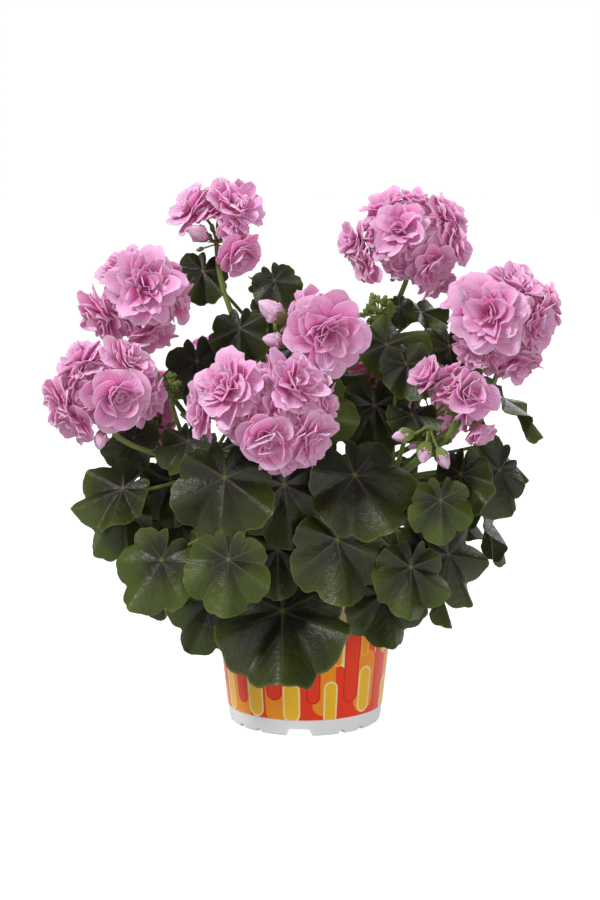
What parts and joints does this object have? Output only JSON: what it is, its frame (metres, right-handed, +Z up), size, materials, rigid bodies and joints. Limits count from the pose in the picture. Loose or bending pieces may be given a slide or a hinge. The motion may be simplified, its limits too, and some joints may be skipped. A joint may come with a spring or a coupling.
{
  "type": "potted pelargonium",
  "caption": "Bushy potted pelargonium with scalloped round leaves and domed heads of double pink florets, in a tapered round plastic pot with a notched foot.",
  "frame": {"origin": "centre of the pot's underside, on the surface that the pot stands on", "axes": "+Z up along the pot's axis, -Y towards the front of the plant, +X to the right seen from the front"},
  "size_m": [0.3453, 0.2965, 0.3755],
  "materials": {
    "pot_plastic": "white moulded plastic, printed round the wall with rounded bars in red, orange, amber and cream",
    "soil": "dark peat compost, matt and crumbly",
    "leaf_and_stem": "dark green, finely hairy leaves with a faint purple brown zone, lighter green stalks",
    "petals": "lilac pink petals with paler edges and a magenta throat, soft satin"
  },
  "bodies": {
    "root": {"pot": "pot_plastic", "soil": "soil", "shoot_1": "leaf_and_stem", "shoot_2": "leaf_and_stem", "shoot_3": "leaf_and_stem", "shoot_4": "leaf_and_stem", "shoot_5": "leaf_and_stem", "shoot_6": "leaf_and_stem", "shoot_7": "leaf_and_stem", "bloom_top_left": "petals", "bloom_upper_left": "petals", "bloom_left": "petals", "bloom_front": "petals", "bloom_centre": "petals", "bloom_top_right": "petals", "bloom_right": "petals", "bloom_lower_right": "petals", "bloom_back_left": "petals", "bloom_back_right": "petals", "bloom_side_right": "petals", "bloom_side_left": "petals"}
  },
  "joints": []
}
